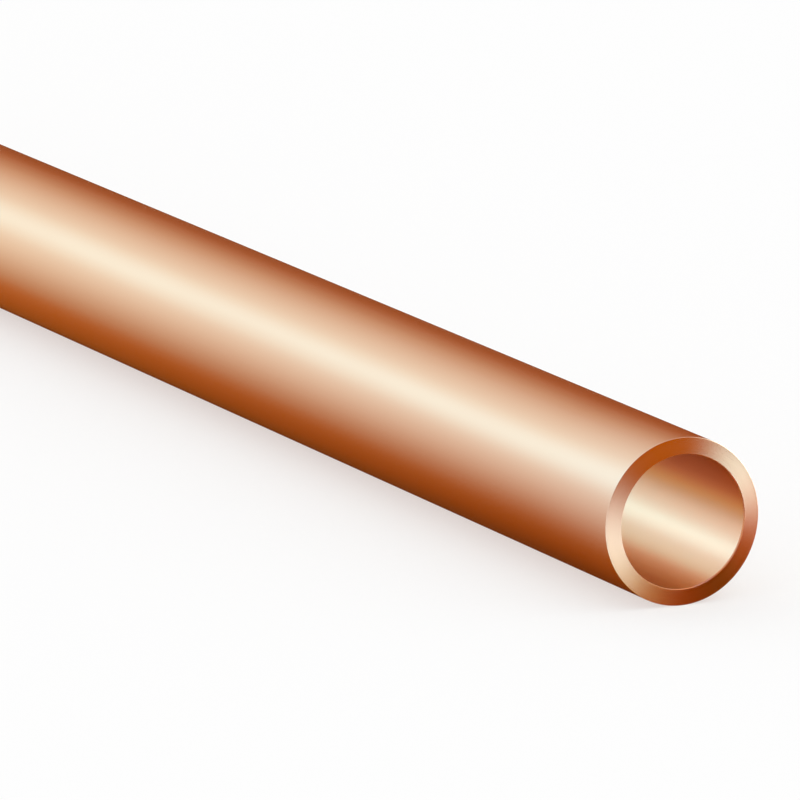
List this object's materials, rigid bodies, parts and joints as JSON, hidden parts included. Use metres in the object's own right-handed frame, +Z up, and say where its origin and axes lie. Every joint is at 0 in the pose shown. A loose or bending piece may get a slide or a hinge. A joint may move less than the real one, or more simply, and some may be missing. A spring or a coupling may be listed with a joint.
{
  "type": "copper pipe",
  "caption": "Straight round copper pipe with a thick wall, open right through, cut square and lightly deburred at both ends, for heating, water, oil and gas lines.",
  "frame": {"origin": "on the floor line, straight under the middle of the pipe's length", "axes": "+X along the pipe's axis towards the end that faces the viewer, +Z up, so the pipe lies on the plane Z = 0"},
  "size_m": [1, 0.01, 0.01],
  "materials": {
    "copper": "bright drawn copper, satin along its length, with a turned and deburred ring at each cut end"
  },
  "bodies": {
    "root": {"pipe": "copper"}
  },
  "joints": []
}
